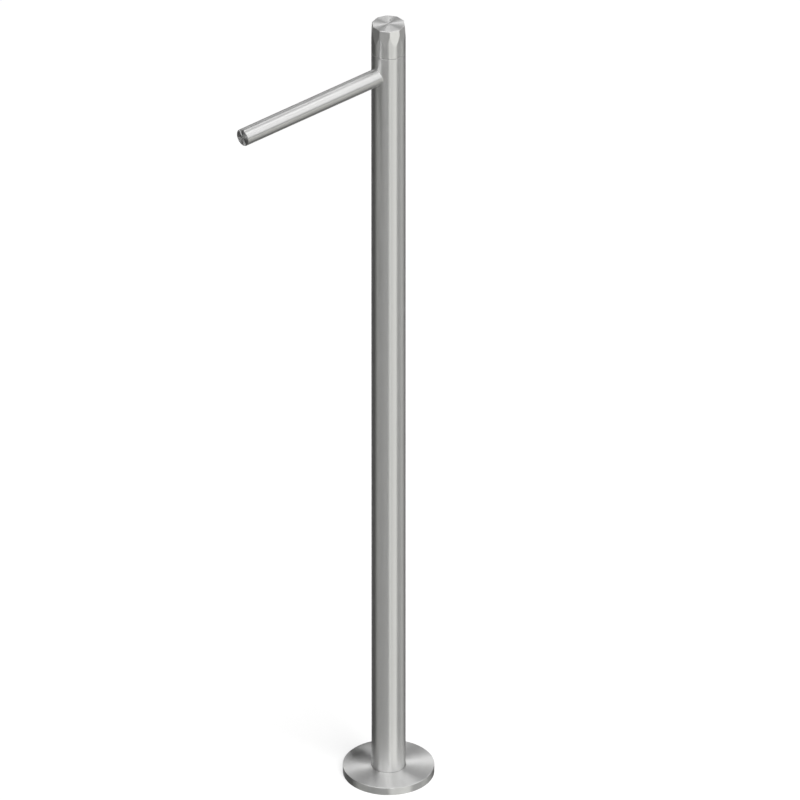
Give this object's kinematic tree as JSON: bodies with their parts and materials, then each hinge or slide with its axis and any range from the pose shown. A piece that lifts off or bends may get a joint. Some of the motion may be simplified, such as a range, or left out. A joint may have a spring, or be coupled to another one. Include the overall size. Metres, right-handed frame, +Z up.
{
  "type": "freestanding basin mixer",
  "caption": "Freestanding basin mixer in brushed steel: a straight round column on a round floor cover, with a straight spout near the top and a faceted turning knob.",
  "frame": {"origin": "on the column's axis at floor level, the centre of the floor bolt circle", "axes": "+Z up along the column, -Y along the spout, +X on the cold side"},
  "size_m": [0.113, 0.2915, 1.076],
  "materials": {
    "drawn_steel": "brushed along its length",
    "turned_steel": "turned and brushed",
    "knob_steel": "faceted, turned top",
    "plate_steel": "plain",
    "brass": "machined",
    "copper": "drawn copper",
    "ceramic": "lapped",
    "cartridge_plastic": "moulded",
    "spacer_plastic": "moulded",
    "aerator_plastic": "moulded",
    "rubber": "moulded"
  },
  "bodies": {
    "column": {"column_tube": "drawn_steel", "foot_plate": "plate_steel", "inlet_block": "brass", "cold_supply_pipe": "copper", "hot_supply_pipe": "copper", "pipe_spacers": "spacer_plastic", "valve_body": "brass", "cartridge_housing": "cartridge_plastic", "fixed_disc": "ceramic", "cartridge_nut": "brass", "spout_tube": "drawn_steel", "spout_waterway": "copper", "spout_tip": "turned_steel", "aerator": "aerator_plastic"},
    "knob": {"knob": "knob_steel", "knob_insert": "brass", "knob_grub_screw": "plate_steel", "cartridge_stem": "brass", "moving_disc": "ceramic"},
    "cover": {"base_cover": "turned_steel", "cover_grip_pads": "rubber"}
  },
  "joints": [
    {"name": "knob_turn", "type": "hinge", "parent": "column", "child": "knob", "pos_m": [0, 0, 1.0375], "axis": [0, 0, 1], "range_deg": [0, 140]},
    {"name": "cover_slide", "type": "slide", "parent": "column", "child": "cover", "axis": [0, 0, 1], "range_m": [0, 0.985]}
  ]
}
